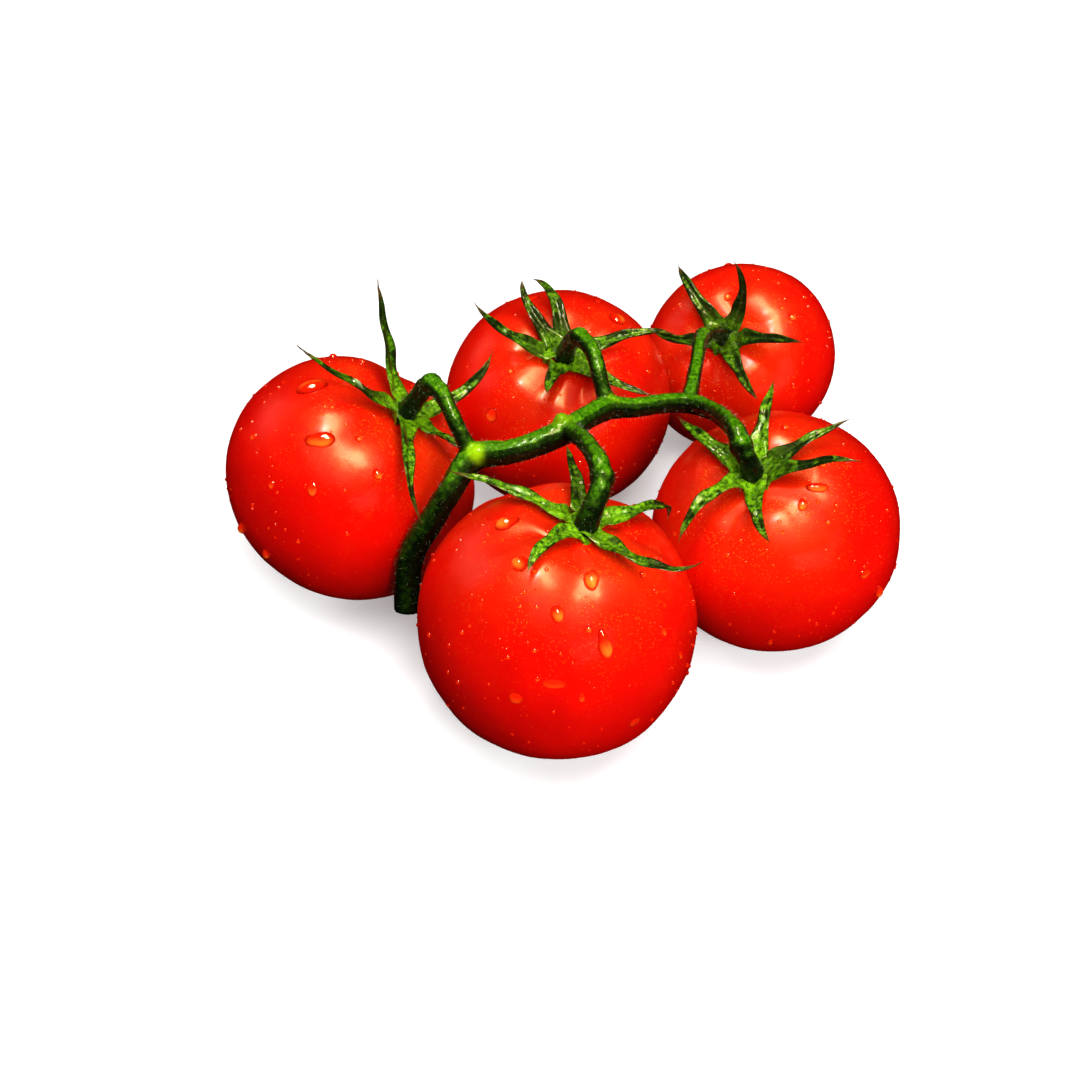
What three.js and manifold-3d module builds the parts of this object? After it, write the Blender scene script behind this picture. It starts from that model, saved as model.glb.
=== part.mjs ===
// A picked truss of five ripe tomatoes: the fruits rest on a table round the cut vine stem that feeds them.
// Millimetres, +Z up. The origin is the middle of the footprint, on the table. The truss is read from its
// cut end (left, near) to its tip (right), and the fruits are numbered in that order.
import * as THREE from "three";
import { mergeVertices } from "three/addons/utils/BufferGeometryUtils.js";
import Module from "manifold-3d";

const wasm = await Module();
wasm.setup();

// ---- Driving dimensions -----------------------------------------------------------------------------
const GAP = 0.35; // clear space kept between separate pieces
const SINK = 1.1; // how far a ripe fruit flattens where it rests
const FRUIT_FULLNESS = 0.9; // 1 is an ellipse, less gives squarer shoulders
const BASIN_DEPTH = 0.15; // stem basin, as shares of the radius
const BASIN_RADIUS = 0.37;
const GROOVE_DEPTH = 0.034; // shoulder grooves, as a share of the radius
const GROOVE_SPREAD = 0.27; // radians
const DIMPLE_DEPTH = 0.7; // blossom end
const DIMPLE_RADIUS = 4.5;
const FRUIT_SEGMENTS = 36;
const FRUIT_RINGS = 18;

const STEM_SIDES = 10;
const STEM_STEP = 3.2; // length of one stem segment
const STALK_LEAD = 1.2; // how far a stalk runs straight on from its knuckle
const FLARE_RADIUS = 3.2; // the stalk's end on the fruit, which the sepals grow from

const SEPAL_STATIONS = 12;
const SEPAL_THICKNESS = 0.9;
const SEPAL_LIFT = 1.55; // height of a sepal's foot over the basin floor
const SEPAL_CUP = 0.16; // how far the edges stand up, as a share of the half width

// Each fruit: where it stands, its radius, its half height over its radius, how its stem axis leans, the turns
// of its shoulder grooves, and its sepals. A sepal leaves the axis at turn, climbs at pitch[0], ends at pitch[1],
// and swings sideways by swing on its way out.
const FRUITS = [
  {
    at: [-54.2, 2.7], radius: 33, height: 0.87, lean: [0.59, 0.06], grooves: [20, 95, 168, 236, 300],
    sepals: [
      { turn: 136, length: 31, pitch: [37, 34], swing: 6, width: 6.0 },
      { turn: 202, length: 32, pitch: [24, -4], swing: -42, width: 4.6 },
      { turn: 268, length: 34, pitch: [26, -44], swing: 58, width: 5.2 },
      { turn: 37, length: 28, pitch: [24, 66], swing: 66, width: 5.0 },
      { turn: 330, length: 20, pitch: [28, 6], swing: 0, width: 4.6 },
    ],
  },
  {
    at: [-1, -46.6], radius: 32.8, height: 0.945, lean: [0.22, 0.13], grooves: [5, 70, 128, 196, 262],
    sepals: [
      { turn: 154, length: 30, pitch: [10, -12], swing: 20, width: 5.8 },
      { turn: 100, length: 22, pitch: [24, -4], swing: 4, width: 4.8 },
      { turn: 28, length: 27, pitch: [28, -44], swing: 34, width: 5.2 },
      { turn: 306, length: 27, pitch: [17, 9], swing: 72, width: 5.4 },
      { turn: 224, length: 20, pitch: [24, -34], swing: 40, width: 5.0 },
    ],
  },
  {
    at: [0.2, 37.9], radius: 31.7, height: 0.85, lean: [0.06, -0.38], grooves: [0, 60, 116, 188, 240, 292],
    sepals: [
      { turn: 171, length: 26, pitch: [27, 26], swing: -40, width: 4.6 },
      { turn: 130, length: 23, pitch: [27, -22], swing: -46, width: 4.6 },
      { turn: 98, length: 25, pitch: [30, -46], swing: 44, width: 5.2 },
      { turn: 18, length: 27, pitch: [29, -8], swing: -23, width: 4.6 },
      { turn: 322, length: 24, pitch: [28, 0], swing: 22, width: 4.6 },
      { turn: 245, length: 14, pitch: [44, 6], swing: 24, width: 5.0 },
    ],
  },
  {
    at: [54, 62], radius: 28.4, height: 0.74, lean: [-0.35, -0.5], grooves: [75, 150, 236, 310],
    sepals: [
      { turn: 115, length: 24, pitch: [30, -32], swing: -10, width: 5.2 },
      { turn: 42, length: 22, pitch: [38, 58], swing: 96, width: 3.8 },
      { turn: 337, length: 24, pitch: [32, 14], swing: -10, width: 4.6 },
      { turn: 285, length: 24, pitch: [30, 12], swing: 16, width: 4.6 },
      { turn: 184, length: 20, pitch: [36, 52], swing: -34, width: 4.6 },
    ],
  },
  {
    at: [54.3, -14.6], radius: 31.2, height: 0.89, lean: [-0.33, -0.16], grooves: [40, 100, 174, 240, 306],
    sepals: [
      { turn: 132, length: 24, pitch: [28, -26], swing: -20, width: 5.0 },
      { turn: 70, length: 24, pitch: [28, -24], swing: 4, width: 4.8 },
      { turn: 16, length: 23, pitch: [28, -26], swing: 12, width: 4.4 },
      { turn: 344, length: 24, pitch: [27, 12], swing: -6, width: 4.4 },
      { turn: 268, length: 25, pitch: [29, 10], swing: 28, width: 4.6 },
      { turn: 216, length: 25, pitch: [52, -38], swing: 26, width: 5.6 },
    ],
  },
];

// Stem routes, as x, y, z and radius. The main stem runs from its cut end through four branch points to the
// knuckle over the last fruit. Each branch runs from its branch point to its own knuckle.
const MAIN_STEM = [
  [-37.7, -36, 21, 3.1],
  [-36.8, -28.6, 32, 3.1],
  [-31.4, -24.4, 40.5, 2.95],
  [-26, -20, 48, 2.85],
  [-21.2, -14, 52, 3.2],
  [-11.4, -14, 54, 2.75],
  [1.4, -8.8, 56, 3.1],
  [6.6, -2.7, 55, 2.7],
  [12.3, 3, 53.5, 2.9],
  [18.8, 4, 52.5, 2.3],
  [26.2, 7, 51.5, 2.3],
  [32.7, 8.2, 50.5, 2.5],
  [38, 0.8, 54, 2.15],
  [40.6, -8.6, 58.2, 2.15],
  [41.6, -14, 60, 2.3],
  [42.4, -16.6, 58.6, 2.5],
];
const BRANCHES = [
  [
    [-21.2, -14, 52, 2.2],
    [-24, -10.6, 56.5, 1.75],
    [-26.8, -5.6, 60, 1.8],
    [-29.4, -0.2, 61.4, 2.1],
    [-31.5, 2.4, 61, 2.4],
  ],
  [
    [1.4, -8.8, 56, 2.4],
    [4.6, -16.4, 60.5, 2.05],
    [7, -26.5, 65, 2.1],
    [8.3, -33, 66.8, 2.35],
    [8.8, -35.4, 65.8, 2.5],
  ],
  [
    [12.3, 3, 53.5, 2.2],
    [10.3, 6.8, 57.5, 1.85],
    [9.2, 11.7, 60.5, 1.85],
    [7.4, 17.2, 61.8, 1.9],
    [5.2, 21.4, 61, 2.2],
  ],
  [
    [32.7, 8.2, 50.5, 2.2],
    [34.4, 16, 50.6, 1.75],
    [36.4, 25.7, 50, 1.7],
    [38.4, 36.2, 48.6, 1.75],
    [39.7, 40.8, 46.8, 2],
  ],
];

// The stalk's radius at its knuckle, along its length, and where it widens to its flare.
const STALK_RADII = [
  [2.4, 2.15, 2.3],
  [2.5, 2.35, 2.6],
  [2.2, 2.1, 2.35],
  [2.0, 1.75, 2.1],
  [2.5, 2.2, 2.4],
];

// ---- Colours and finish -----------------------------------------------------------------------------
const fruitSkin = new THREE.MeshStandardMaterial({ color: 0xd9180c, roughness: 0.28, metalness: 0 });
const stemSkin = new THREE.MeshStandardMaterial({ color: 0x3c7a1c, roughness: 0.55, metalness: 0 });
const sepalSkin = new THREE.MeshStandardMaterial({ color: 0x4a8c22, roughness: 0.5, metalness: 0 });

// ---- Shape helpers ----------------------------------------------------------------------------------
const radians = THREE.MathUtils.degToRad;
const bell = (x) => Math.exp(-x * x);

// A closed geometry through rings of points, with a fan on each end.
function loft(rings) {
  const sides = rings[0].length;
  const points = rings.flat();
  const index = [];
  for (let r = 0; r + 1 < rings.length; r++) {
    for (let s = 0; s < sides; s++) {
      const a = r * sides + s;
      const b = r * sides + ((s + 1) % sides);
      index.push(a, b, b + sides, a, b + sides, a + sides);
    }
  }
  for (const [ring, base, turned] of [[rings[0], 0, true], [rings.at(-1), points.length - sides, false]]) {
    const middle = points.length;
    points.push(ring.reduce((sum, p) => sum.add(p), new THREE.Vector3()).divideScalar(sides));
    for (let s = 0; s < sides; s++) {
      const next = base + ((s + 1) % sides);
      index.push(...(turned ? [middle, next, base + s] : [middle, base + s, next]));
    }
  }
  const geometry = new THREE.BufferGeometry().setFromPoints(points).setIndex(index);
  geometry.computeVertexNormals();
  return geometry;
}

const stemCurve = (route) =>
  new THREE.CatmullRomCurve3(route.map(([x, y, z]) => new THREE.Vector3(x, y, z)), false, "centripetal");

// A tapering round stem along route, a list of [x, y, z, radius].
function stem(route) {
  const curve = stemCurve(route);
  const steps = Math.max(4, Math.round(curve.getLength() / STEM_STEP));
  const frames = curve.computeFrenetFrames(steps);
  const rings = [];
  for (let i = 0; i <= steps; i++) {
    const along = curve.getUtoTmapping(i / steps) * (route.length - 1);
    const k = Math.min(Math.floor(along), route.length - 2);
    const radius = THREE.MathUtils.lerp(route[k][3], route[k + 1][3], along - k);
    const centre = curve.getPointAt(i / steps);
    rings.push(Array.from({ length: STEM_SIDES }, (_, s) => {
      const turn = (2 * Math.PI * s) / STEM_SIDES;
      return centre.clone()
        .addScaledVector(frames.normals[i], radius * Math.cos(turn))
        .addScaledVector(frames.binormals[i], radius * Math.sin(turn));
    }));
  }
  return loft(rings);
}

// A geometry as a manifold-3d solid, and back.
function toSolid(geometry) {
  const bare = geometry.clone();
  bare.deleteAttribute("normal");
  bare.deleteAttribute("uv");
  const merged = mergeVertices(bare, 1e-4);
  return new wasm.Manifold(new wasm.Mesh({
    numProp: 3,
    vertProperties: new Float32Array(merged.attributes.position.array),
    triVerts: new Uint32Array(merged.index.array),
  }));
}
function toGeometry(solid) {
  const mesh = solid.getMesh();
  const geometry = new THREE.BufferGeometry()
    .setAttribute("position", new THREE.BufferAttribute(mesh.vertProperties, 3))
    .setIndex(new THREE.BufferAttribute(mesh.triVerts, 1));
  geometry.computeVertexNormals();
  return geometry;
}

// ---- Fruit ------------------------------------------------------------------------------------------
// The skin at polar angle t from the stem end and turn phi about the axis, with the axis along +Z.
function skinPoint(fruit, t, phi) {
  const { radius, height, grooves } = fruit;
  let out = radius * Math.sin(t) ** FRUIT_FULLNESS;
  let up = height * radius * Math.cos(t);
  if (up > 0) up -= BASIN_DEPTH * radius * bell(out / (BASIN_RADIUS * radius));
  else up += DIMPLE_DEPTH * bell(out / DIMPLE_RADIUS);
  let groove = 0;
  for (const turn of grooves) {
    const away = Math.atan2(Math.sin(phi - radians(turn)), Math.cos(phi - radians(turn)));
    groove += bell(away / GROOVE_SPREAD);
  }
  groove *= GROOVE_DEPTH * radius * bell((t - 0.62) / 0.42);
  out -= groove * Math.sin(t);
  up -= groove * Math.cos(t);
  return new THREE.Vector3(out * Math.cos(phi), out * Math.sin(phi), up);
}

// The fruit's group, placed so that its lowest skin is SINK below the table, and its skin cut flat there.
function makeFruit(fruit, name) {
  const [x, y] = fruit.lean;
  const axis = new THREE.Vector3(x, y, Math.sqrt(1 - x * x - y * y));
  const group = new THREE.Group();
  group.quaternion.setFromUnitVectors(new THREE.Vector3(0, 0, 1), axis);

  const sphere = new THREE.SphereGeometry(1, FRUIT_SEGMENTS, FRUIT_RINGS).rotateX(Math.PI / 2);
  sphere.deleteAttribute("normal");
  sphere.deleteAttribute("uv");
  const geometry = mergeVertices(sphere, 1e-5);
  const place = geometry.attributes.position;
  const down = new THREE.Vector3(0, 0, -1).applyQuaternion(group.quaternion.clone().invert());
  const v = new THREE.Vector3();
  let lowest = 0;
  for (let i = 0; i < place.count; i++) {
    v.fromBufferAttribute(place, i);
    v.copy(skinPoint(fruit, Math.acos(THREE.MathUtils.clamp(v.z, -1, 1)), Math.atan2(v.y, v.x)));
    lowest = Math.max(lowest, v.dot(down));
    place.setXYZ(i, v.x, v.y, v.z);
  }
  const height = lowest - SINK;
  for (let i = 0; i < place.count; i++) {
    v.fromBufferAttribute(place, i);
    v.addScaledVector(down, -Math.max(0, v.dot(down) - height));
    place.setXYZ(i, v.x, v.y, v.z);
  }
  geometry.computeVertexNormals();
  group.position.set(fruit.at[0], fruit.at[1], height);

  const skin = new THREE.Mesh(geometry, fruitSkin);
  skin.name = name;
  group.add(skin);
  return group;
}

const basinFloor = (fruit) => skinPoint({ ...fruit, grooves: [] }, 0, 0).z;

// ---- Stalk: the last stretch of a branch, from its knuckle to the fruit -----------------------------
function makeStalk(fruit, group, branch, radii) {
  const onAxis = (height) => group.localToWorld(new THREE.Vector3(0, 0, basinFloor(fruit) + height));
  const knuckle = stemCurve(branch).getPointAt(1);
  const heading = stemCurve(branch).getTangentAt(1);
  const start = knuckle.clone().addScaledVector(heading, GAP);
  const turn = knuckle.clone().addScaledVector(heading, GAP + STALK_LEAD);
  const bend = onAxis(7.5).lerp(turn, 0.4);
  return stem([
    [...start.toArray(), radii[0]],
    [...turn.toArray(), radii[0]],
    [...bend.toArray(), radii[1]],
    [...onAxis(4.2).toArray(), radii[2]],
    [...onAxis(2.2).toArray(), FLARE_RADIUS],
    [...onAxis(0.95).toArray(), FLARE_RADIUS - 0.3],
  ]);
}

// ---- Sepal: a thin tapering leaf of the calyx -------------------------------------------------------
// Its half width at s from foot to tip, as a share of its full half width.
const sepalOutline = (s) => (0.78 + 1.05 * s - 1.3 * s * s) * (1 - s ** 2.6) ** 0.9 + 0.05;

// The angle from this sepal to its nearer neighbour on one side, halved.
function halfSpacing(fruit, sepal, side) {
  const spacings = fruit.sepals
    .filter((other) => other !== sepal)
    .map((other) => (((other.turn - sepal.turn) * side) % 360 + 360) % 360);
  return radians(Math.min(...spacings) / 2);
}

function makeSepal(fruit, sepal) {
  const foot = FLARE_RADIUS + GAP;
  const step = sepal.length / SEPAL_STATIONS;
  const centre = new THREE.Vector3(foot, 0, basinFloor(fruit) + SEPAL_LIFT)
    .applyAxisAngle(new THREE.Vector3(0, 0, 1), radians(sepal.turn));
  const across = [1, 0.55, 0, -0.55, -1, -0.55, 0, 0.55];
  const through = [0, 0.42, 0.5, 0.42, 0, -0.42, -0.5, -0.42];
  const rings = [];
  for (let i = 0; i <= SEPAL_STATIONS; i++) {
    const s = i / SEPAL_STATIONS;
    const pitch = radians(THREE.MathUtils.lerp(sepal.pitch[0], sepal.pitch[1], s));
    const heading = radians(sepal.turn + sepal.swing * s * s);
    const ahead = new THREE.Vector3(Math.cos(heading), Math.sin(heading), 0);
    const along = ahead.clone().multiplyScalar(Math.cos(pitch)).setZ(Math.sin(pitch));
    const aside = new THREE.Vector3(-Math.sin(heading), Math.cos(heading), 0);
    const above = new THREE.Vector3().crossVectors(along, aside);
    const half = (sepal.width / 2) * sepalOutline(s);
    const reach = Math.hypot(centre.x, centre.y);
    const thick = SEPAL_THICKNESS * (1 - 0.55 * s);
    rings.push(across.map((a, k) => {
      const room = reach * Math.tan(halfSpacing(fruit, sepal, Math.sign(a) || 1)) - 0.8 * GAP;
      const offset = a * (s < 0.5 ? Math.min(half, room) : half);
      return centre.clone()
        .addScaledVector(aside, offset)
        .addScaledVector(above, thick * through[k] + SEPAL_CUP * Math.abs(a * offset));
    }));
    centre.addScaledVector(along, step);
  }
  return loft(rings);
}

// ---- The truss --------------------------------------------------------------------------------------
const truss = new THREE.Group();

function addMesh(parent, name, geometry, material) {
  const mesh = new THREE.Mesh(geometry, material);
  mesh.name = name;
  parent.add(mesh);
}

const stems = [MAIN_STEM, ...BRANCHES].map((route) => toSolid(stem(route)));
const vine = stems.reduce((sum, solid) => sum.add(solid));
addMesh(truss, "vine_stem", toGeometry(vine), stemSkin);

FRUITS.forEach((fruit, i) => {
  const number = i + 1;
  const group = makeFruit(fruit, `fruit_${number}`);
  truss.add(group);
  group.updateMatrixWorld(true);
  const branch = BRANCHES[i] ?? MAIN_STEM;
  addMesh(truss, `stalk_${number}`, makeStalk(fruit, group, branch, STALK_RADII[i]), stemSkin);
  fruit.sepals.forEach((sepal, k) => {
    addMesh(group, `sepal_${number}${"abcdef"[k]}`, makeSepal(fruit, sepal), sepalSkin);
  });
});

// The origin is the middle of the footprint.
const box = new THREE.Box3().setFromObject(truss, true);
truss.position.set(-(box.min.x + box.max.x) / 2, -(box.min.y + box.max.y) / 2, 0);

const part = new THREE.Group();
part.add(truss);
export default part;
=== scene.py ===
"""A cut truss of ripe tomatoes, wet from washing: the looks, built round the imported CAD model.

Lengths are in metres, in the CAD's frame: +Z up from the table, +X along the truss, the camera to the front
(-Y). The fruits, stems and sepals are read off the CAD meshes and drawn again with their finer shape.
"""

import math
import random

import bmesh
import bpy
import numpy as np
from mathutils import Euler, Matrix, Vector, noise
from mathutils.bvhtree import BVHTree


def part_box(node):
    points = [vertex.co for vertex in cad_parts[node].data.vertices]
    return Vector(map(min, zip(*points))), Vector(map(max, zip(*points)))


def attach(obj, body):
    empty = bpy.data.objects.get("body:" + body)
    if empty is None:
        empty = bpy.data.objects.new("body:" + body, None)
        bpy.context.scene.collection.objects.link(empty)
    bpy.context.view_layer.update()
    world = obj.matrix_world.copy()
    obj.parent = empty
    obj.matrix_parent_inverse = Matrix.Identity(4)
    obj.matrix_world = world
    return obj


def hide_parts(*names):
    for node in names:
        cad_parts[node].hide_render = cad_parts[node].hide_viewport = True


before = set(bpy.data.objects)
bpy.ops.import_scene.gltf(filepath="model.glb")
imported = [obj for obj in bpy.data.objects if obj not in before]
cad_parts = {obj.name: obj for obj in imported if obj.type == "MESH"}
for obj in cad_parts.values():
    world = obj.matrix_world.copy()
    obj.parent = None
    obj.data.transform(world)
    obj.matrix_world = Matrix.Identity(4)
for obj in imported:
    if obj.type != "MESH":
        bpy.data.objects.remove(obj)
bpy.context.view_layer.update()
NODES = sorted(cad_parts)
MM = 0.001
DOWN = Vector((0, 0, -1))

# ---- Driving values ------------------------------------------------------------------------------------
CAMERA_PLACE = Vector((-4.6, -249.7, 262)) * MM
CAMERA_DOWN = math.radians(45)
CAMERA_LENS = 43.1  # for a 36 mm sensor
CAMERA_SHIFT = -0.0194
SEED = 5
ANY_PHASE = 0, 6.28

# Fruits
FRUIT_REFINE = 4  # grid steps per CAD facet
SKIN_WAVE = 0.28 * MM  # slow unevenness of a fruit's skin
SKIN_WAVE_SIZES = ((13 * MM, 1), (5 * MM, 0.35))  # how wide its waves are, and their share
SHOULDER_REACH = 0.27  # how far the orange shoulder goes down, of the way from stem to blossom end
# Folds in the shoulder grooves, from the stem basin over the shoulder. Each is drawn from these ranges: its
# middle and reach of the way down, its width in radians, and its share of the depth.
GROOVE_RING = 3  # the CAD ring that crosses the shoulder grooves
CREASE_DEPTH = 0.45 * MM
CREASE_MOST = 1.2  # where folds cross, they deepen to this many times that at most
CREASE_TURN = -0.1, 0.1  # how far a fold is turned off its groove, in radians
CREASE_MIDDLE = 0.13, 0.18
CREASE_REACH = 0.08, 0.11
CREASE_WIDTH = 0.13, 0.2
CREASE_SHARE = 0.5, 1

# Stem
STEM_VOXEL = 0.34 * MM
STEM_SMOOTHING = 14
STEM_SWELL = 0.26 * MM  # what the remesh and its smoothing take off
STEM_CREASES = 1.6 * MM, 0.1 * MM  # size and height of its fine relief
STEM_LUMPS = 5 * MM, 0.15 * MM  # and of its slow unevenness
KNUCKLE = 0.55 * MM  # how far the ring at the top of each stalk stands out
# Knobs where the branches leave the main stem: place, radius, and how pale they are.
KNOBS = [
    (Vector((-19.8, -19.2, 53.9)) * MM, 1.9 * MM, 1.0),
    (Vector((0.6, -12.5, 58.2)) * MM, 2.1 * MM, 0.45),
    (Vector((13.6, -1.1, 55.2)) * MM, 1.6 * MM, 0.15),
]
KNOB_REACH = 1.25  # how far its pale colour goes, in radii
CUT_FADE = 0.25 * MM, 0.75 * MM  # heights over the stem's low end between which its cut colour fades

# Calyx leaves. Where a value is along a leaf, 0 is its foot and 1 its tip; across it, 1 is its edge.
LEAF_REFINE = 5  # grid steps per CAD facet
LEAF_ACROSS = 14  # faces across each side of a leaf
LEAF_FOOT = 1.7 * MM  # how far a leaf's foot runs into the stalk's flare
LEAF_LIFT = 0.7 * MM  # how much the foot stands above the CAD's
LEAF_LIFT_REACH = 0.22  # how far along the lift goes
LEAF_BASE = 3.5 * MM  # half the width at the foot
LEAF_BASE_FADE = 1.2  # power by which that width goes to nothing along the leaf
LEAF_TRIM = 0.3  # how much narrower than the CAD's a leaf is at its slimmest
LEAF_TRIM_SKEW = 0.8  # power that moves the slimmest place, which is the middle at 1
LEAF_TAPER = 0.12, 1.02  # how much of the length narrows to the tip, and where the sides would meet
LEAF_TIP = 0.5 * MM  # length of the point beyond the last station
LEAF_THICK = 0.85  # how much of the CAD's thickness is kept
LEAF_THINNEST = 0.16 * MM  # half the thickness
LEAF_FOLD = 0.3  # slope of the two halves up from the midrib
LEAF_GUTTER = 0.18 * MM  # depth of the groove along the midrib
LEAF_GUTTER_WIDTH = 0.16
LEAF_KEEL = 0.22 * MM  # height of the ridge under the midrib
LEAF_KEEL_WIDTH = 0.2
LEAF_WAVES = 13, 19  # range of how far the edges' waves turn along the leaf, in radians
LEAF_RIPPLE = 0.05  # how far the waves go in and out, of half the width
LEAF_HEAVE = 0.22  # and up and down
LEAF_DROOP = 0.5  # slope down of the edges
LEAF_DROOP_START = 0.8  # where across the leaf
LEAF_BLISTERS = 1.1 * MM, 0.16 * MM  # size and height
# How far a tip curls up, or down if negative, and single leaves that differ.
CURL_START = 0.74  # where along the leaf
TIP_CURL = 0.8 * MM
LEAF_CURL = {
    "1c": 2.2 * MM,
    "1d": -1.2 * MM,
    "2c": -3.4 * MM,
    "2d": 2.6 * MM,
    "3d": -1.2 * MM,
    "5d": -1.8 * MM,
}
# Where a leaf's colours are: how wide the pale midrib is, where across the leaf its dark edge starts and is
# full, and where along it the fresh foot and the brown tip do.
MIDRIB_WIDTH = 0.14
EDGE_ZONE = 0.75, 1
FRESH_ZONE = 0.4, 0
BROWN_ZONE = 0.84, 0.94
# How dark leaves turn towards their tips: how much of that is at the foot already, how fast it grows along
# the leaf, then each fruit's value and those of single leaves that differ.
TONE_FOOT = 0.6
TONE_GROWTH = 1.2
LEAF_TONE = {
    "1": 0.4, "2": 0.3, "3": 0.7, "4": 0.95, "5": 0.35,
    "1b": 0.55, "1d": 0.5, "2b": 0.75, "2d": 0.75, "2e": 0.0,
    "3b": 0.95, "3c": 0.9, "5c": 0.85, "5d": 0.85,
}

# Hairs
STEM_HAIRS = 1500
LEAF_HAIRS = 40  # on each leaf
HAIR_LENGTH = 0.4 * MM, 1.2 * MM
HAIR_LEAN = 0.45
HAIR_BEND = 0.12  # how far a tip is bent aside at most, of the length
HAIR_BEND_PLACE = 0.55  # where along it the hair bends
HAIR_BEND_SHARE = 0.3  # and how far it is aside there, of its tip's way
HAIR_ROOT = 0.15 * MM  # depth under the skin
HAIR_RADIUS = 0.022 * MM, 0.016 * MM  # at the root and at the bend

# Water
DROP_RINGS = 8
DROP_SIDES = 20
DROP_TILT = 1.35  # how far over the dome turns from its top to its rim, in radians
DROP_SUNK = 0.12 * MM  # how far the rim is under the skin
DROP_UNDER = 0.35 * MM  # and the middle of the underside
DROP_UNEVEN = 0.02, 0.07  # range of how far the outline goes in and out, of the radius
DROP_NARROWS = 0.28  # how much a drawn-out drop narrows uphill
DROP_LEANS = 0.3  # how much higher a drawn-out drop is at its lower end
DROP_RIM = 0.7  # where its painted shade towards the edge begins, of the radius
DROP_GLOW_START = 0.25  # how far uphill of the middle its painted glow begins, of the radius
DROP_LIT = 1.4  # how brightly the painted glow shows in the highest drops
SPECKS = 380  # small drops on each fruit
SPECK_RINGS = 4
SPECK_SIDES = 12
SPECK_WIDTH = 0.4, 0.9  # the smallest, and how much wider the largest are, in millimetres
SPECK_HEIGHT = 0.45  # of the width
SPECK_LIT = 0.2, 1.6  # range of how brightly their painted glow shows

# How far off a place on a fruit or a leaf is looked for.
RAY_LENGTH = 0.2
LEAF_RAY_LENGTH = 6 * MM

# Studio
FLOOR_HALF = 3
FLOOR_GAP = 0.2 * MM  # between the floor and the lowest fruit
LAMP_AIM = (0, 0, 0.03)
WHITE = (1, 1, 1)
# Softboxes: name, place, width, depth, power in watts, whether they show in the gloss of the surfaces or
# light their colour, and their own colour.
SOFTBOXES = [
    ("key", (0.08, -0.1, 0.7), 0.7, 0.5, 5.8, "colour", WHITE),
    ("shine", (0.05, 0.03, 0.6), 0.34, 0.12, 6, "gloss", (1, 0.72, 0.38)),
    ("sparkle", (-0.04, 0.02, 0.55), 0.06, 0.05, 1.6, "gloss", WHITE),
    ("front_fill", (0.3, -0.6, 0.42), 0.4, 0.3, 5.6, "colour", WHITE),
    ("back_fill", (-0.6, 0.35, 0.35), 0.4, 0.3, 2.4, "colour", WHITE),
]
SKY = 0.08


def unit(vectors):
    return vectors / np.linalg.norm(vectors, axis=-1, keepdims=True)


def bell(values):
    """1 at zero, falling off smoothly on both sides."""
    return np.exp(-(values**2))


def rise(values, start, end):
    """0 up to start, 1 from end on, and an even slope between them."""
    return np.clip((values - start) / (end - start), 0, 1)


# ---- Reading the CAD -----------------------------------------------------------------------------------
def cad_bmesh(node):
    """A CAD node's mesh with its doubled corners joined."""
    bm = bmesh.new()
    bm.from_mesh(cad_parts[node].data)
    bmesh.ops.remove_doubles(bm, verts=bm.verts, dist=0.002 * MM)
    return bm


def in_order(ring):
    """The vertices of one closed ring, in the order in which they follow each other."""
    members = set(ring)
    walk = [ring[0]]
    while len(walk) < len(ring):
        near = [e.other_vert(walk[-1]) for e in walk[-1].link_edges]
        walk.append(next(v for v in near if v in members and v not in walk))
    return walk


def loft_rings(node, start):
    """The rings of a lofted CAD solid as an array [ring, place in ring, xyz], and its two end points.

    start is a point near the end to begin from. The rings turn anticlockwise about the way they go, and are
    in step with each other.
    """
    bm = cad_bmesh(node)
    sides = max(len(v.link_edges) for v in bm.verts)
    poles = [v for v in bm.verts if len(v.link_edges) == sides]
    first = min(poles, key=lambda v: (v.co - Vector(start)).length)
    seen = {first}
    level = [first]
    rings = []
    while True:
        ahead = []
        for v in level:
            for edge in v.link_edges:
                other = edge.other_vert(v)
                if other not in seen:
                    seen.add(other)
                    ahead.append(other)
        if len(ahead) < 3:
            last = ahead[0]
            break
        rings.append(np.array([v.co for v in in_order(ahead)]))
        level = ahead
    ends = np.array(first.co), np.array(last.co)
    bm.free()
    aligned = []
    centres = [ends[0]] + [ring.mean(0) for ring in rings] + [ends[1]]
    for i, ring in enumerate(rings):
        middle = ring.mean(0)
        forward = centres[i + 2] - centres[i]
        turn = np.cross(ring - middle, np.roll(ring, -1, 0) - middle).sum(0) @ forward
        if turn < 0:
            ring = ring[::-1]
        if aligned:
            previous = aligned[-1][0] - aligned[-1].mean(0)
            ring = np.roll(ring, -int(((ring - ring.mean(0)) @ previous).argmax()), 0)
        aligned.append(ring)
    return np.array(aligned), ends


def between(values, times):
    """Catmull-Rom interpolation of an array along its first axis, at times in steps of that axis."""
    values = np.asarray(values, float)
    k = np.clip(np.floor(times).astype(int), 0, len(values) - 2)
    f = (times - k).reshape((-1,) + (1,) * (values.ndim - 1))
    before = values[np.maximum(k - 1, 0)]
    after = values[np.minimum(k + 2, len(values) - 1)]
    a, b = values[k], values[k + 1]
    cubic = 3 * (a - b) + after - before
    square = 2 * before - 5 * a + 4 * b - after
    return a + 0.5 * f * (b - before + f * (square + f * cubic))


def closed_grid(rings, ends):
    """Vertices and faces of a closed surface from rings [ring, place, xyz] and its two end points."""
    count, sides = rings.shape[:2]
    points = np.concatenate([rings.reshape(-1, 3), np.array(ends)])
    faces = []
    for r in range(count - 1):
        for s in range(sides):
            a, b = r * sides + s, r * sides + (s + 1) % sides
            faces.append((a, b, b + sides, a + sides))
    low, high = len(points) - 2, len(points) - 1
    base = (count - 1) * sides
    for s in range(sides):
        faces.append((low, (s + 1) % sides, s))
        faces.append((high, base + s, base + (s + 1) % sides))
    return points, faces


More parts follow.
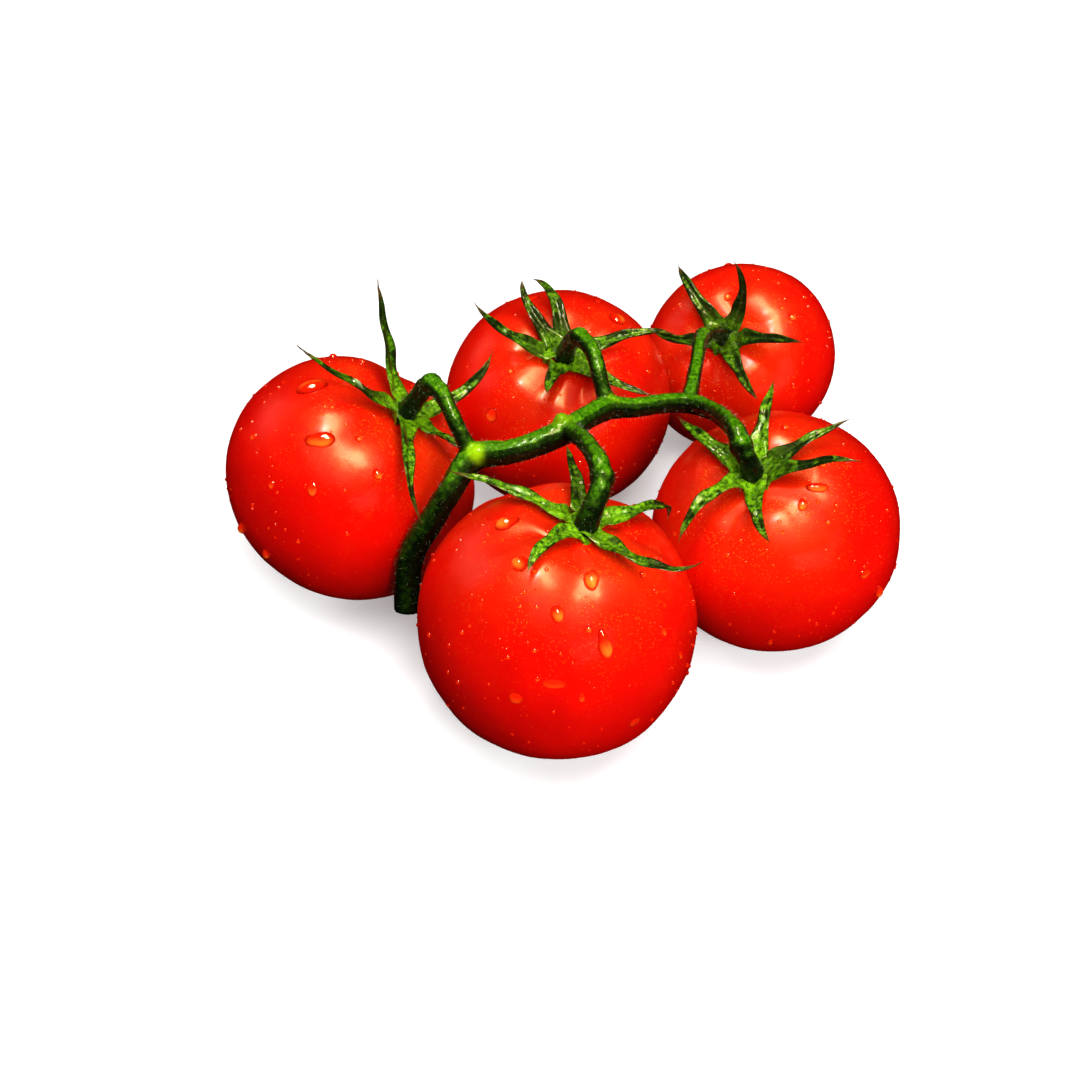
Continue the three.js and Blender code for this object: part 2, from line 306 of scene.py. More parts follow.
# ---- Making pieces -------------------------------------------------------------------------------------
def add_piece(name, points, faces, material, replaces=()):
    """A smooth mesh piece that rides with the truss."""
    mesh = bpy.data.meshes.new(name)
    mesh.from_pydata([tuple(p) for p in points], [], faces)
    mesh.validate()
    mesh.shade_smooth()
    mesh.materials.append(material)
    piece = bpy.data.objects.new(name, mesh)
    bpy.context.scene.collection.objects.link(piece)
    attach(piece, "root")
    if replaces:
        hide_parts(*replaces)
    return piece


def set_attribute(piece, name, values):
    """A value at each vertex, which the piece's material reads by name."""
    attribute = piece.data.attributes.new(name, "FLOAT", "POINT")
    attribute.data.foreach_set("value", np.asarray(values, np.float32))


def noise_at(points, size, seed=0.0, octaves=1):
    """Smooth noise in about -1 to 1 at each point, with features of that size."""
    shift = Vector((seed * 17.3, seed * 5.1, seed * 9.7))
    out = np.empty(len(points))
    for i, p in enumerate(points):
        place = Vector(p) / size + shift
        out[i] = noise.fractal(place, 1.0, 2.0, octaves) if octaves > 1 else noise.noise(place)
    return out


# ---- Materials -----------------------------------------------------------------------------------------
class Nodes:
    """A material's node tree, with short calls to add nodes and link them."""

    def __init__(self, name):
        self.material = bpy.data.materials.new(name)
        self.material.use_nodes = True
        self.tree = self.material.node_tree
        self.shader = self.tree.nodes["Principled BSDF"]

    def add(self, kind, **settings):
        node = self.tree.nodes.new("ShaderNode" + kind)
        for key, value in settings.items():
            setattr(node, key, value)
        return node

    def link(self, source, target):
        self.tree.links.new(source, target)

    def attribute(self, name):
        return self.add("Attribute", attribute_name=name).outputs["Fac"]

    def place(self):
        return self.add("TexCoord").outputs["Object"]

    def facing_up(self):
        """How far the surface faces up: 0 down, 0.5 level with the horizon, 1 straight up."""
        split = self.add("SeparateXYZ")
        self.link(self.add("NewGeometry").outputs["Normal"], split.inputs["Vector"])
        return self.math("MULTIPLY_ADD", split.outputs["Z"], 0.5, 0.5)

    def noise(self, scale, detail=2.0, roughness=0.5, distortion=0.0):
        node = self.add("TexNoise")
        node.inputs["Scale"].default_value = scale
        node.inputs["Detail"].default_value = detail
        node.inputs["Roughness"].default_value = roughness
        node.inputs["Distortion"].default_value = distortion
        self.link(self.place(), node.inputs["Vector"])
        return node.outputs["Fac"]

    def cells(self, scale):
        """Distance to the nearest of scattered points, in the texture's own units."""
        node = self.add("TexVoronoi")
        node.inputs["Scale"].default_value = scale
        self.link(self.place(), node.inputs["Vector"])
        return node.outputs["Distance"]

    def ramp(self, source, *stops):
        """A smooth colour or grey ramp; each stop is (place, colour) or (place, grey)."""
        node = self.add("ValToRGB")
        node.color_ramp.interpolation = "EASE"
        elements = node.color_ramp.elements
        while len(elements) < len(stops):
            elements.new(0.5)
        for element, (place, colour) in zip(elements, stops):
            element.position = place
            element.color = (*colour, 1) if isinstance(colour, tuple) else (colour, colour, colour, 1)
        self.link(source, node.inputs["Fac"])
        return node.outputs["Color"]

    def mix(self, factor, first, second):
        node = self.add("Mix", data_type="RGBA")
        sockets = {"Factor": factor, "A": first, "B": second}
        colours = [s for s in node.inputs if s.type == "RGBA"]
        targets = {"Factor": node.inputs["Factor"], "A": colours[0], "B": colours[1]}
        for key, value in sockets.items():
            if isinstance(value, bpy.types.NodeSocket):
                self.link(value, targets[key])
            elif key == "Factor":
                targets[key].default_value = value
            else:
                targets[key].default_value = (*value, 1)
        return next(s for s in node.outputs if s.type == "RGBA")

    def math(self, operation, *values):
        node = self.add("Math", operation=operation)
        for socket, value in zip(node.inputs, values):
            if isinstance(value, bpy.types.NodeSocket):
                self.link(value, socket)
            else:
                socket.default_value = value
        return node.outputs["Value"]

    def bump(self, *layers):
        """Layers of (height, distance in metres), added on each other."""
        normal = None
        for height, distance in layers:
            node = self.add("Bump")
            node.inputs["Strength"].default_value = 1
            node.inputs["Distance"].default_value = distance
            self.link(height, node.inputs["Height"])
            if normal:
                self.link(normal, node.inputs["Normal"])
            normal = node.outputs["Normal"]
        self.link(normal, self.shader.inputs["Normal"])

    def set(self, **values):
        for key, value in values.items():
            self.shader.inputs[key.replace("_", " ")].default_value = value


def make_fruit_skin():
    """Glossy ripe skin: deep red, more orange on the shoulders, with fine pale flecks and pores.

    A broad orange shine lies in the skin, and a tighter, whiter one over it.
    """
    n = Nodes("fruit_skin")
    deep, ripe = (0.62, 0.0006, 0.0002), (0.76, 0.0012, 0.0003)
    orange, pale = (0.88, 0.03, 0.0015), (0.95, 0.2, 0.01)
    red = n.ramp(n.noise(38, detail=3, distortion=0.4), (0.3, deep), (0.7, ripe))
    shoulder = n.attribute("shoulder")
    warm = n.math("MULTIPLY", shoulder, n.ramp(n.noise(60, detail=4), (0.35, 0.15), (0.7, 0.8)))
    colour = n.mix(warm, red, orange)
    flecks = n.ramp(n.cells(1500), (0.0, 1.0), (0.16, 1.0), (0.24, 0.0))
    clusters = n.ramp(n.noise(160, detail=2), (0.38, 0.1), (0.6, 0.9))
    where = n.math("MULTIPLY", clusters, n.math("ADD", shoulder, 0.03))
    colour = n.mix(n.math("MULTIPLY", flecks, where), colour, pale)
    n.link(colour, n.shader.inputs["Base Color"])
    n.link(n.ramp(n.noise(420, detail=3), (0.3, 0.32), (0.75, 0.4)), n.shader.inputs["Roughness"])
    n.set(Specular_IOR_Level=0.34, Specular_Tint=(1, 0.4, 0.08, 1))
    gloss = n.ramp(n.noise(700, detail=4), (0.3, 0.12), (0.7, 0.21))
    n.link(n.math("ADD", gloss, n.math("MULTIPLY", shoulder, 0.08)), n.shader.inputs["Coat Roughness"])
    n.set(Coat_Weight=0.38, Coat_IOR=1.4)
    pores, grain, dents = n.cells(1100), n.noise(1500, detail=2), n.noise(150, detail=2)
    n.bump((pores, 0.012 * MM), (grain, 0.012 * MM), (dents, 0.06 * MM))
    return n.material


def make_stem_skin():
    """Damp grainy stem, yellow-green on the knobs, with painted light and shade: bright green where it
    faces up, near black below.
    """
    n = Nodes("stem_skin")
    black, shade = (0.001, 0.002, 0.001), (0.003, 0.01, 0.001)
    dark, green, bright = (0.01, 0.06, 0.0005), (0.05, 0.19, 0.001), (0.17, 0.42, 0.004)
    yellow, dried = (0.4, 0.72, 0.003), (0.1, 0.13, 0.03)
    grain = n.noise(900, detail=5, roughness=0.75)
    # Painted light and shade: a near-black shaded copy and a green lit copy of the grain, mixed by how far
    # the stem faces up.
    shaded = n.ramp(grain, (0.4, black), (0.65, shade))
    lit = n.ramp(grain, (0.35, dark), (0.52, green), (0.68, bright))
    painted_lit_share = n.math("ADD", n.facing_up(), n.ramp(n.noise(170, detail=3), (0.3, 0.0), (0.7, 0.07)))
    colour = n.mix(n.ramp(painted_lit_share, (0.76, 0.0), (0.9, 0.14), (1.0, 1.0)), shaded, lit)
    colour = n.mix(n.attribute("knob"), colour, yellow)
    colour = n.mix(n.attribute("cut"), colour, dried)
    n.link(colour, n.shader.inputs["Base Color"])
    n.link(n.ramp(n.noise(500, detail=3), (0.3, 0.3), (0.7, 0.5)), n.shader.inputs["Roughness"])
    n.set(Specular_IOR_Level=0.1, Specular_Tint=(0.8, 1, 0.3, 1), Coat_Weight=0.2, Coat_Roughness=0.12)
    n.bump((n.noise(1400, detail=4), 0.16 * MM), (n.noise(420, detail=3), 0.3 * MM))
    return n.material


def make_leaf_skin():
    """A calyx leaf: mottled lime and dark green, fresh at the foot, dark at the edges, brown at the tip,
    with painted light and shade: lit where it faces up, near black below.
    """
    n = Nodes("leaf_skin")
    black, shade = (0.001, 0.003, 0.001), (0.01, 0.035, 0.002)
    dark, green, lime = (0.001, 0.008, 0.0005), (0.05, 0.19, 0.001), (0.24, 0.5, 0.006)
    pale_rib, dark_edge, dark_green = (0.16, 0.36, 0.006), (0.002, 0.008, 0.001), (0.002, 0.009, 0.001)
    young, brown = (0.24, 0.56, 0.005), (0.1, 0.04, 0.008)
    mottle = n.noise(850, detail=6, roughness=0.72, distortion=0.3)
    # Painted light and shade: a near-black shaded copy and a lit copy of the mottle, mixed by how far the
    # leaf faces up; darker-toned leaves get more of the painted shade.
    shaded = n.ramp(mottle, (0.4, black), (0.62, shade))
    lit = n.ramp(mottle, (0.39, dark), (0.48, green), (0.6, lime))
    tone = n.attribute("tone")
    painted_lit_share = n.math("SUBTRACT", n.facing_up(), n.ramp(n.noise(240, detail=4), (0.4, 0.24), (0.56, 0.0)))
    painted_lit_share = n.math("SUBTRACT", painted_lit_share, n.math("MULTIPLY", tone, 0.16))
    colour = n.mix(n.ramp(painted_lit_share, (0.64, 0.0), (0.8, 1.0)), shaded, lit)
    colour = n.mix(n.math("MULTIPLY", n.attribute("midrib"), 0.3), colour, pale_rib)
    colour = n.mix(n.math("MULTIPLY", n.attribute("edge"), 0.85), colour, dark_edge)
    colour = n.mix(n.math("MULTIPLY", tone, 0.55), colour, dark_green)
    fresh = n.math("MULTIPLY", n.attribute("base"), n.ramp(mottle, (0.4, 0.25), (0.58, 1.0)))
    fresh = n.math("MULTIPLY", fresh, n.math("SUBTRACT", 1, tone))
    colour = n.mix(fresh, colour, young)
    withered = n.math("MULTIPLY", n.attribute("tip"), n.ramp(n.noise(300), (0.3, 0.6), (0.6, 1.0)))
    colour = n.mix(withered, colour, brown)
    n.link(colour, n.shader.inputs["Base Color"])
    n.link(n.ramp(n.noise(700, detail=3), (0.3, 0.3), (0.7, 0.5)), n.shader.inputs["Roughness"])
    n.set(Specular_IOR_Level=0.14, Specular_Tint=(0.8, 1, 0.3, 1), Coat_Weight=0.3, Coat_Roughness=0.12)
    n.bump((n.noise(1300, detail=3), 0.1 * MM), (mottle, 0.22 * MM))
    return n.material


def make_hair():
    n = Nodes("stem_hair")
    colour = n.ramp(n.noise(900), (0.3, (0.3, 0.4, 0.2)), (0.7, (0.6, 0.65, 0.5)))
    n.link(colour, n.shader.inputs["Base Color"])
    n.set(Roughness=0.5)
    return n.material


def make_water(name, body, lit, rim_shade, clear):
    """Drops that take up the colour under them: the body, a darker painted shade towards the edge and a
    painted glow of focused light at the lower end.
    """
    n = Nodes(name)
    # Painted light and shade: a glow of focused light towards the lower end and shade towards the edge,
    # both painted into the colour.
    inside = n.mix(n.attribute("glow"), body, lit)
    n.link(n.mix(n.attribute("rim_shade"), inside, rim_shade), n.shader.inputs["Base Color"])
    n.set(Roughness=0.04, IOR=1.33, Transmission_Weight=clear)
    n.set(Coat_Weight=1.0, Coat_Roughness=0.03, Coat_IOR=1.6)
    return n.material


def make_floor_surface():
    n = Nodes("studio_floor")
    n.link(n.ramp(n.noise(30), (0.3, 0.88), (0.7, 0.9)), n.shader.inputs["Base Color"])
    n.set(Roughness=0.7, Emission_Color=(1, 1, 1, 1), Emission_Strength=0.3)
    return n.material


FRUIT_SKIN = make_fruit_skin()
STEM_SKIN = make_stem_skin()
LEAF_SKIN = make_leaf_skin()
HAIR = make_hair()
FRUIT_WATER = make_water("fruit_water", (0.8, 0.02, 0.002), (1, 0.28, 0.02), (0.3, 0.004, 0.001), 0.4)
LEAF_WATER = make_water("leaf_water", (0.45, 0.7, 0.2), (0.85, 1, 0.5), (0.02, 0.06, 0.005), 0.55)


# ---- Fruits --------------------------------------------------------------------------------------------
def middle_of(node):
    low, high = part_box(node)
    return (low + high) / 2


def refine_fruit(rings, ends):
    """The CAD's fruit on a finer grid, still with rings round its stem axis."""
    count, sides = rings.shape[:2]
    mirror = np.roll(rings, sides // 2, 1)
    line = np.concatenate([
        mirror[:1], np.repeat(ends[0][None, None], sides, 1), rings,
        np.repeat(ends[1][None, None], sides, 1), mirror[-1:],
    ])
    steps = np.arange(1, (count + 1) * FRUIT_REFINE) / FRUIT_REFINE + 1
    fine = between(line, steps)
    around = np.arange(sides * FRUIT_REFINE) / FRUIT_REFINE
    padded = np.concatenate([fine[:, -1:], fine, fine[:, :2]], 1).transpose(1, 0, 2)
    return between(padded, around + 1).transpose(1, 0, 2), (steps - 1) / (count + 1)


def find_grooves(rings):
    """The directions of a fruit's shoulder grooves, in radians round its stem axis."""
    ring = rings[GROOVE_RING]
    girth = np.linalg.norm(ring - ring.mean(0), axis=1)
    inward = (girth < np.roll(girth, 1)) & (girth <= np.roll(girth, -1))
    return np.flatnonzero(inward) * 2 * math.pi / len(girth)


def fold_skin(down, around, grooves, rng):
    """How deep the skin's folds are at each place of its grid."""
    folds = np.zeros((len(down), len(around)))
    for groove in grooves:
        away = np.angle(np.exp(1j * (around - groove - rng.uniform(*CREASE_TURN))))
        middle, reach = rng.uniform(*CREASE_MIDDLE), rng.uniform(*CREASE_REACH)
        fold = np.outer(bell((down - middle) / reach), bell(away / rng.uniform(*CREASE_WIDTH)))
        folds += rng.uniform(*CREASE_SHARE) * fold
    return CREASE_DEPTH * np.minimum(folds, CREASE_MOST)


def add_fruit(number, rng):
    node = f"fruit_{number}"
    coarse, ends = loft_rings(node, middle_of(f"stalk_{number}"))
    rings, down = refine_fruit(coarse, ends)
    count, sides = rings.shape[:2]
    outward = unit(rings - (ends[0] + ends[1]) / 2)
    around = np.arange(sides) * 2 * math.pi / sides
    folds = fold_skin(down, around, find_grooves(coarse), rng)
    wave = np.zeros(count * sides)
    for i, (size, share) in enumerate(SKIN_WAVE_SIZES):
        wave += share * noise_at(rings.reshape(-1, 3), size, number + 9 * i)
    rings = rings + outward * (SKIN_WAVE * wave.reshape(count, sides) - folds)[..., None]
    rings[..., 2] = np.maximum(rings[..., 2], 0)
    points, faces = closed_grid(rings, (ends[0], np.maximum(ends[1], (-1, -1, 0))))
    piece = add_piece(f"skin_{number}", points, faces, FRUIT_SKIN, [node])
    shoulder = bell(down / SHOULDER_REACH)
    set_attribute(piece, "shoulder", np.append(np.repeat(shoulder, sides), [1, 0]))
    return piece


# ---- Stem ----------------------------------------------------------------------------------------------
def add_ball(bm, place, radius):
    bmesh.ops.create_icosphere(bm, subdivisions=3, radius=radius, matrix=Matrix.Translation(place))


def swell_parts(parts):
    """The CAD parts as one bmesh, each swelled a little."""
    whole = bmesh.new()
    for node in parts:
        bm = cad_bmesh(node)
        bm.normal_update()
        for v in bm.verts:
            v.co += v.normal * STEM_SWELL
        mesh = bpy.data.meshes.new("part")
        bm.to_mesh(mesh)
        bm.free()
        whole.from_mesh(mesh)
        bpy.data.meshes.remove(mesh)
    return whole


def stalk_top(number):
    """The middle and the radius of a stalk's end ring away from its fruit."""
    fruit = middle_of(f"fruit_{number}")
    rings, _ = loft_rings(f"stalk_{number}", fruit)
    ring = max(rings[0], rings[-1], key=lambda ring: np.linalg.norm(ring.mean(0) - fruit))
    middle = ring.mean(0)
    return Vector(middle), np.linalg.norm(ring - middle, axis=1).mean()


def fuse(name, bm):
    """A piece in which the overlapping bodies of a bmesh have grown together smoothly."""
    overlapping = bpy.data.meshes.new(name)
    bm.to_mesh(overlapping)
    bm.free()
    piece = bpy.data.objects.new(name, overlapping)
    bpy.context.scene.collection.objects.link(piece)
    remesh = piece.modifiers.new("remesh", "REMESH")
    remesh.mode = "VOXEL"
    remesh.voxel_size = STEM_VOXEL
    smooth = piece.modifiers.new("smooth", "SMOOTH")
    smooth.iterations = STEM_SMOOTHING
    depsgraph = bpy.context.evaluated_depsgraph_get()
    grown = bpy.data.meshes.new_from_object(piece.evaluated_get(depsgraph))
    piece.modifiers.clear()
    piece.data = grown
    bpy.data.meshes.remove(overlapping)
    grown.name = name
    return piece


def add_stem():
    """One grown body: the main stem, its branches and the stalks, with knobs at the branchings."""
    parts = ["vine_stem"] + [n for n in NODES if n.startswith("stalk_")]
    whole = swell_parts(parts)
    for place, radius, _ in KNOBS:
        add_ball(whole, place, radius)
    for number in range(1, 6):
        place, radius = stalk_top(number)
        add_ball(whole, place, radius + KNUCKLE)
    piece = fuse("green_stem", whole)
    mesh = piece.data
    points = np.array([v.co for v in mesh.vertices])
    normals = np.array([v.normal for v in mesh.vertices])
    fine = noise_at(points, STEM_CREASES[0], 3, octaves=3) * STEM_CREASES[1]
    relief = fine + noise_at(points, STEM_LUMPS[0], 4) * STEM_LUMPS[1]
    mesh.vertices.foreach_set("co", (points + normals * relief[:, None]).ravel())
    mesh.update()
    mesh.shade_smooth()
    mesh.materials.append(STEM_SKIN)
    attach(piece, "root")
    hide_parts(*parts)
    knob = np.zeros(len(points))
    for place, radius, pale in KNOBS:
        away = np.linalg.norm(points - np.array(place), axis=1) / (KNOB_REACH * radius)
        knob += pale * bell(away**2)
    set_attribute(piece, "knob", np.clip(knob, 0, 1))
    height = points[:, 2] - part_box("vine_stem")[0].z
    set_attribute(piece, "cut", rise(height, CUT_FADE[1], CUT_FADE[0]))
    return piece


# ---- Sepals --------------------------------------------------------------------------------------------
def leaf_stations(node, number):
    """A CAD sepal as stations from foot to tip: middle, half width vector, way up and half thickness."""
    rings, _ = loft_rings(node, middle_of(f"stalk_{number}"))
    mid = rings[len(rings) // 2]
    edge = int(np.linalg.norm(mid[:4] - mid[4:], axis=1).argmax())
    left, right = rings[:, edge], rings[:, edge + 4]
    top, bottom = rings[:, (edge + 2) % 8], rings[:, (edge + 6) % 8]
    outward = mid.mean(0) - np.array(middle_of(f"fruit_{number}"))
    if (top - bottom)[:4].mean(0) @ outward <= 0:
        top, bottom = bottom, top
    thick = np.linalg.norm(top - bottom, axis=1) / 2
    return (top + bottom) / 2, (left - right) / 2, unit(top - bottom), thick


def refine_stations(middle, aside, above, thick):
    """How far along each station is, and the stations on a finer grid whose foot runs into the stalk."""
    foot = middle[0] + unit(middle[0] - middle[1]) * LEAF_FOOT
    middle = np.concatenate([[foot], middle])
    aside, above, thick = (np.concatenate([a[:1], a]) for a in (aside, above, thick))
    steps = np.linspace(0, len(middle) - 1, (len(middle) - 1) * LEAF_REFINE + 1)
    middle, aside, above, thick = (between(a, steps) for a in (middle, aside, above, thick))
    return steps / steps[-1], middle, aside, unit(above), thick


def leaf_widths(along, half):
    """Half the width at each station: broad at the foot, slimmer than the CAD's, narrowing to the tip."""
    taper, end = LEAF_TAPER
    half = half * (1 - LEAF_TRIM * np.sin(math.pi * along**LEAF_TRIM_SKEW))
    half = np.maximum(half, LEAF_BASE * (1 - along) ** LEAF_BASE_FADE)
    return half * np.minimum(1, (end - along) / taper)


def leaf_section(along, across, top, half, thick, rng):
    """How far each point of the leaf's rings is aside of its middle and above it."""
    phase = rng.uniform(*ANY_PHASE), rng.uniform(*ANY_PHASE)
    waves = rng.uniform(*LEAF_WAVES), rng.uniform(*LEAF_WAVES)
    s, a, half = along[:, None], across[None], half[:, None]
    ripple = np.where(a > 0, np.sin(waves[0] * s + phase[0]), np.sin(waves[1] * s + phase[1]))
    offset = a * half * (1 + LEAF_RIPPLE * ripple)
    fold = LEAF_FOLD * np.abs(offset) - LEAF_GUTTER * bell(a / LEAF_GUTTER_WIDTH) * (1 - s)
    heave = LEAF_HEAVE * half * ripple * a**2
    droop = LEAF_DROOP * half * np.maximum(np.abs(a) - LEAF_DROOP_START, 0)
    body = (1 - a**4) * np.maximum(thick, LEAF_THINNEST)[:, None] * LEAF_THICK
    keel = np.where(top < 0, LEAF_KEEL * bell(a / LEAF_KEEL_WIDTH) * (1 - s), 0)
    return offset, fold + heave - droop + top * body - keel


def blister_leaf(rings, across, above, rng):
    """The rings with a blistered surface that calms down towards the edges."""
    size, height = LEAF_BLISTERS
    blister = noise_at(rings.reshape(-1, 3), size, rng.uniform(0, 9), octaves=2).reshape(rings.shape[:2])
    return rings + above[:, None] * (blister * height * (1 - across**4))[..., None]


def add_sepal(node, rng):
    name = node.split("_")[1]
    number = int(name[0])
    along, middle, aside, above, thick = refine_stations(*leaf_stations(node, number))
    half = leaf_widths(along, np.linalg.norm(aside, axis=1))
    aside = unit(aside)
    curl = LEAF_CURL.get(name, TIP_CURL) * rise(along, CURL_START, 1) ** 2
    middle = middle + above * (LEAF_LIFT * bell(along / LEAF_LIFT_REACH) + curl)[:, None]
    across = np.sin(np.linspace(-math.pi / 2, math.pi / 2, LEAF_ACROSS + 1))
    across = np.concatenate([across, across[-2:0:-1]])
    top = np.concatenate([np.ones(LEAF_ACROSS + 1), -np.ones(LEAF_ACROSS - 1)])
    offset, height = leaf_section(along, across, top, half, thick, rng)
    rings = middle[:, None] + aside[:, None] * offset[..., None] + above[:, None] * height[..., None]
    rings = blister_leaf(rings, across, above, rng)
    spokes = rings[0] - rings[0].mean(0)
    if np.cross(spokes, np.roll(spokes, -1, 0)).sum(0) @ (middle[1] - middle[0]) < 0:
        rings = rings[:, ::-1]
        across = across[::-1]
    ends = rings[0].mean(0), rings[-1].mean(0) + unit(middle[-1] - middle[-2]) * LEAF_TIP
    points, faces = closed_grid(rings, ends)
    piece = add_piece(f"leaf_{name}", points, faces, LEAF_SKIN, [node])
    wide = np.tile(np.abs(across), len(along))
    far = np.repeat(along, len(across))
    tone = LEAF_TONE.get(name, LEAF_TONE[str(number)])
    # Each value at the rings' points, then at the foot and the tip.
    set_attribute(piece, "midrib", np.append(bell(wide / MIDRIB_WIDTH) * (1 - far), [0, 0]))
    set_attribute(piece, "edge", np.append(rise(wide, *EDGE_ZONE), [0, 0]))
    set_attribute(piece, "base", np.append(rise(far, *FRESH_ZONE), [1, 0]))
    darkened = tone * np.clip(TONE_FOOT * tone + TONE_GROWTH * far, 0, 1)
    set_attribute(piece, "tone", np.append(darkened, [0, tone]))
    set_attribute(piece, "tip", np.append(rise(far, *BROWN_ZONE), [0, 1]))
    return piece, middle, above


# ---- Hairs ---------------------------------------------------------------------------------------------
def scatter(piece, count, rng):
    """Random points on a piece's faces, evenly by area, with the face normals."""
    mesh = piece.data
    area = np.array([p.area for p in mesh.polygons])
    picks = rng.choices(range(len(area)), weights=area, k=count)
    return [(mesh.polygons[i].center.copy(), mesh.polygons[i].normal.copy()) for i in picks]


def add_hairs(name, roots, rng):
    """Fine tapering hairs that stand on the skin, each a closed three-sided spike with a bend."""
    points, faces = [], []
    for place, normal in roots:
        lean = Vector([rng.uniform(-1, 1) for _ in range(3)])
        way = (normal + HAIR_LEAN * lean).normalized()
        length = rng.uniform(*HAIR_LENGTH)
        side = way.orthogonal().normalized()
        other = way.cross(side)
        tip = side * rng.uniform(-HAIR_BEND, HAIR_BEND) * length
        base = len(points)
        root = place - way * HAIR_ROOT
        bend = place + way * HAIR_BEND_PLACE * length + HAIR_BEND_SHARE * tip
        for middle, radius in zip((root, bend), HAIR_RADIUS):
            for k in range(3):
                angle = 2 * math.pi * k / 3
                points.append(middle + radius * (math.cos(angle) * side + math.sin(angle) * other))
        points.append(place + way * length + tip)
        for k in range(3):
            a, b = base + k, base + (k + 1) % 3
            faces += [(a, b, b + 3, a + 3), (a + 3, b + 3, base + 6)]
        faces.append((base + 2, base + 1, base))
    return add_piece(name, points, faces, HAIR)


# ---- Water drops ---------------------------------------------------------------------------------------
def drop_shape(place, normal, way, width, length, height, rng, rings, sides, lit):
    """A closed drop on the skin: a dome over a slightly uneven outline, drawn out the way it runs.

    Returns its points and faces, and at each point its share of the painted glow and of the painted shade
    towards the edge.
    """
    downhill = way - way.dot(normal) * normal
    downhill = downhill.normalized() if downhill.length > 1e-4 else normal.orthogonal().normalized()
    side = normal.cross(downhill)
    phase = rng.uniform(*ANY_PHASE)
    uneven = rng.uniform(*DROP_UNEVEN)
    drawn_out = length > width
    flat = math.cos(DROP_TILT)
    points, faces, glow, rim_shade = [], [], [], []
    for r in range(rings):
        tilt = (r + 1) / rings * DROP_TILT
        spread = math.sin(tilt) / math.sin(DROP_TILT)
        dome = (math.cos(tilt) - flat) / (1 - flat)
        for k in range(sides):
            angle = 2 * math.pi * k / sides
            wobble = 1 + uneven * math.sin(3 * angle + phase) + 0.5 * uneven * math.sin(5 * angle - phase)
            x, y = math.cos(angle) * spread * wobble, math.sin(angle) * spread * wobble
            narrow = 1 - DROP_NARROWS * max(0, -x) * (length / width - 1)
            up = height * dome * (1 + DROP_LEANS * x * drawn_out) - DROP_SUNK
            points.append(place + side * y * width / 2 * narrow + downhill * x * length / 2 + normal * up)
            # Painted shade grows towards the drop's edge; a painted glow of focused light lies on its
            # downhill side, as strong as lit.
            rim_shade.append(max(0, spread - DROP_RIM) / (1 - DROP_RIM))
            glow.append(max(0, x + DROP_GLOW_START) * (1 - rim_shade[-1]) * lit)
    points.append(place + normal * (height - DROP_SUNK))
    points.append(place - normal * DROP_UNDER)
    glow += [0, 0]
    rim_shade += [0, 1]
    top, bottom = rings * sides, rings * sides + 1
    last = (rings - 1) * sides
    for k in range(sides):
        following = (k + 1) % sides
        faces.append((top, k, following))
        faces.append((bottom, last + following, last + k))
        for r in range(rings - 1):
            a, b = r * sides + k, r * sides + following
            faces.append((a, a + sides, b + sides, b))
    return points, faces, glow, rim_shade


def on_skin(tree, centre, azimuth, elevation):
    """The point of a piece's surface in that direction from its centre, with the normal there."""
    a, e = math.radians(azimuth), math.radians(elevation)
    way = Vector((math.cos(a) * math.cos(e), math.sin(a) * math.cos(e), math.sin(e)))
    place, normal, _, _ = tree.ray_cast(centre + way * RAY_LENGTH, -way)
    return place, normal


# The larger drops of each fruit: direction from its middle (degrees round from +X, degrees up), then width,
# length and height in millimetres.
DROPS = {
    1: [
        (179, 77, 8.2, 4.6, 1.7), (103, 51, 2.2, 2.2, 0.9), (78, 57, 2.4, 2.4, 0.9),
        (60, 40, 2.6, 2.8, 1.2), (258, 59, 7.4, 4.0, 1.0), (292, 60, 1.8, 2.0, 0.8),
        (296, 41, 2.2, 3.2, 1.0), (219, 3, 2.4, 3.6, 1.4), (235, -2, 2.4, 3.4, 1.2),
        (259, 37, 2.6, 3.6, 0.7), (236, 34, 1.7, 2.2, 0.7), (207, 45, 1.8, 2.4, 0.8),
    ],
    2: [
        (164, 68, 3.4, 6.0, 1.5), (229, 67, 3.8, 4.0, 2.0), (300, 63, 3.6, 5.2, 1.7),
        (269, 52, 3.1, 4.3, 1.6), (292, 38, 3.2, 7.0, 1.8), (253, 17, 3.6, 3.2, 0.28),
        (268, 25, 5.6, 2.4, 0.26), (301, -3, 3.4, 2.8, 0.4), (286, 45, 1.6, 2.0, 0.8),
        (333, 43, 1.3, 1.5, 0.6), (323, 30, 1.4, 3.0, 0.7), (328, 14, 1.1, 2.6, 0.7),
        (246, 67, 1.4, 1.4, 0.6), (240, 72, 1.2, 1.2, 0.6), (187, 67, 1.2, 1.2, 0.6),
        (336, 51, 2.0, 1.6, 0.8), (257, 69, 1.1, 1.1, 0.5), (289, 71, 1.2, 1.2, 0.5),
        (279, 19, 1.5, 2.6, 0.5), (40, 42, 3.6, 3.6, 1.6),
    ],
    3: [
        (20, 54, 5.2, 4.6, 1.6), (225, 48, 1.8, 2.2, 0.9), (229, 23, 3.6, 4.2, 0.6),
        (319, 50, 1.4, 1.4, 0.6), (345, 31, 1.3, 1.6, 0.6), (120, 60, 4.6, 2.2, 0.8),
    ],
    4: [
        (161, 76, 2.8, 3.2, 1.2), (328, 54, 2.4, 3.0, 1.0), (95, 34, 3.4, 3.0, 1.5),
        (300, 14, 1.2, 1.8, 0.6), (2, 51, 1.2, 1.6, 0.6),
    ],
    5: [
        (278, 58, 2.4, 3.4, 1.2), (297, 64, 5.4, 2.6, 0.9), (87, 72, 2.4, 2.0, 0.9),
        (326, 72, 2.0, 2.0, 0.9), (306, 18, 3.6, 2.4, 0.8), (316, 2, 2.8, 3.6, 1.4),
        (263, -14, 1.6, 3.0, 0.7), (303, 53, 1.2, 1.4, 0.6),
    ],
}
